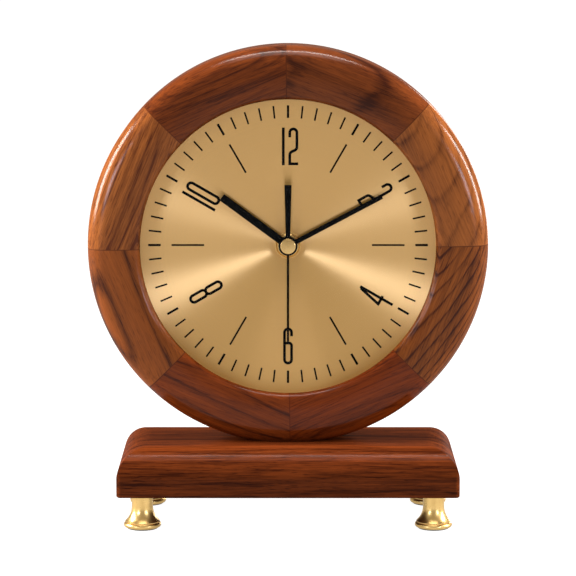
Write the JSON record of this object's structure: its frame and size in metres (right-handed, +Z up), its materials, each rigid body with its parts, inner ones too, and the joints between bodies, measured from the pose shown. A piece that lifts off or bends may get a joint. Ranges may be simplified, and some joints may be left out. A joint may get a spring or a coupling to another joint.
{
  "type": "mantel clock",
  "caption": "Round wooden mantel clock of glued segments on a rounded plinth with brass trumpet feet, spun brass dial and quartz movement.",
  "frame": {"origin": "on the resting surface, under the middle of the plinth and of the four feet", "axes": "+Z up, the dial faces -Y, +X to the right seen from the front"},
  "size_m": [0.2, 0.078, 0.2387],
  "materials": {
    "case_wood": "satin lacquer",
    "plinth_wood": "satin lacquer",
    "polished_brass": "polished",
    "turned_brass": "turned",
    "cap_brass": "satin domed",
    "spun_brass": "spun brushed",
    "zinc_steel": "zinc plated",
    "felt": "pressed felt",
    "clear_glass": "clear float",
    "spacer_black": "matte",
    "fibreboard": "raw fibreboard",
    "black_board": "black painted fibreboard",
    "black_plastic": "moulded",
    "white_plastic": "moulded",
    "knob_plastic": "moulded",
    "black_rubber": "matte",
    "soft_iron": "stamped",
    "copper_wire": "enamelled winding",
    "board_green": "solder mask",
    "bright_metal": "bright",
    "cell_jacket": "printed sleeve",
    "magnet": "plated",
    "hand_black": "black enamel"
  },
  "bodies": {
    "root": {"ring_segment_1": "case_wood", "ring_segment_2": "case_wood", "ring_segment_3": "case_wood", "ring_segment_4": "case_wood", "ring_segment_5": "case_wood", "ring_segment_6": "case_wood", "ring_segment_7": "case_wood", "ring_segment_8": "case_wood", "plinth": "plinth_wood", "ring_screws": "zinc_steel", "foot_front_left": "polished_brass", "foot_front_right": "polished_brass", "foot_rear_left": "polished_brass", "foot_rear_right": "polished_brass", "foot_pads": "felt", "foot_studs": "zinc_steel", "foot_inserts": "turned_brass", "front_glass": "clear_glass", "glass_spacer": "spacer_black", "dial_plate": "spun_brass", "backing_board": "fibreboard", "backing_board_screws": "zinc_steel", "rear_cover": "black_board", "rear_cover_screws": "zinc_steel", "movement_case": "black_plastic", "movement_middle_plate": "white_plastic", "movement_back_plate": "black_plastic", "movement_screws": "zinc_steel", "rubber_washer": "black_rubber", "nut_washer": "turned_brass", "movement_nut": "turned_brass", "motor_stator": "soft_iron", "coil_spool": "white_plastic", "coil_winding": "copper_wire", "circuit_board": "board_green", "quartz_crystal": "bright_metal", "positive_contact": "bright_metal", "negative_contact": "bright_metal"},
    "second_hand": {"seconds_wheel": "white_plastic", "seconds_arbor": "bright_metal", "second_hand": "hand_black", "second_hand_cap": "cap_brass"},
    "rotor": {"rotor_magnet": "magnet", "rotor_pinion": "white_plastic"},
    "fifth_wheel": {"fifth_wheel": "white_plastic"},
    "third_wheel": {"third_wheel": "white_plastic"},
    "centre_wheel": {"centre_wheel": "turned_brass"},
    "minute_hand": {"minute_arbor": "turned_brass", "clutch_spring": "bright_metal", "minute_hand": "hand_black"},
    "minute_wheel": {"minute_wheel": "white_plastic"},
    "hour_hand": {"hour_wheel": "turned_brass", "hour_hand": "hand_black"},
    "setting_knob": {"setting_knob": "knob_plastic"},
    "battery": {"battery": "cell_jacket"}
  },
  "joints": [
    {"name": "second_hand_spin", "type": "hinge", "parent": "root", "child": "second_hand", "pos_m": [0, 0, 0.1387], "axis": [0, 1, 0], "continuous": true},
    {"name": "rotor_spin", "type": "hinge", "parent": "root", "child": "rotor", "pos_m": [0.00985, 0, 0.15065], "axis": [0, 1, 0], "continuous": true},
    {"name": "fifth_wheel_spin", "type": "hinge", "parent": "root", "child": "fifth_wheel", "pos_m": [0.00248, 0, 0.14797], "axis": [0, 1, 0], "continuous": true},
    {"name": "third_wheel_spin", "type": "hinge", "parent": "root", "child": "third_wheel", "pos_m": [-0.00863, 0, 0.14184], "axis": [0, 1, 0], "continuous": true},
    {"name": "centre_wheel_spin", "type": "hinge", "parent": "root", "child": "centre_wheel", "pos_m": [0, 0, 0.1387], "axis": [0, 1, 0], "continuous": true},
    {"name": "minute_hand_spin", "type": "hinge", "parent": "root", "child": "minute_hand", "pos_m": [0, 0, 0.1387], "axis": [0, 1, 0], "continuous": true},
    {"name": "minute_wheel_spin", "type": "hinge", "parent": "root", "child": "minute_wheel", "pos_m": [0.00752, 0, 0.13596], "axis": [0, 1, 0], "continuous": true},
    {"name": "hour_hand_spin", "type": "hinge", "parent": "root", "child": "hour_hand", "pos_m": [0, 0, 0.1387], "axis": [0, 1, 0], "continuous": true},
    {"name": "setting_knob_spin", "type": "hinge", "parent": "root", "child": "setting_knob", "pos_m": [0.01504, 0, 0.1387], "axis": [0, 1, 0], "continuous": true},
    {"name": "battery_slide", "type": "slide", "parent": "root", "child": "battery", "axis": [0, 1, 0], "range_m": [0, 0.03]}
  ],
  "couplings": [
    {"joint": "rotor_spin", "follows": "second_hand_spin", "ratio": 30},
    {"joint": "fifth_wheel_spin", "follows": "second_hand_spin", "ratio": -5},
    {"joint": "third_wheel_spin", "follows": "second_hand_spin", "ratio": -0.13333},
    {"joint": "centre_wheel_spin", "follows": "second_hand_spin", "ratio": 0.016667},
    {"joint": "minute_wheel_spin", "follows": "minute_hand_spin", "ratio": -0.33333},
    {"joint": "hour_hand_spin", "follows": "minute_hand_spin", "ratio": 0.083333},
    {"joint": "setting_knob_spin", "follows": "minute_hand_spin", "ratio": 1}
  ]
}
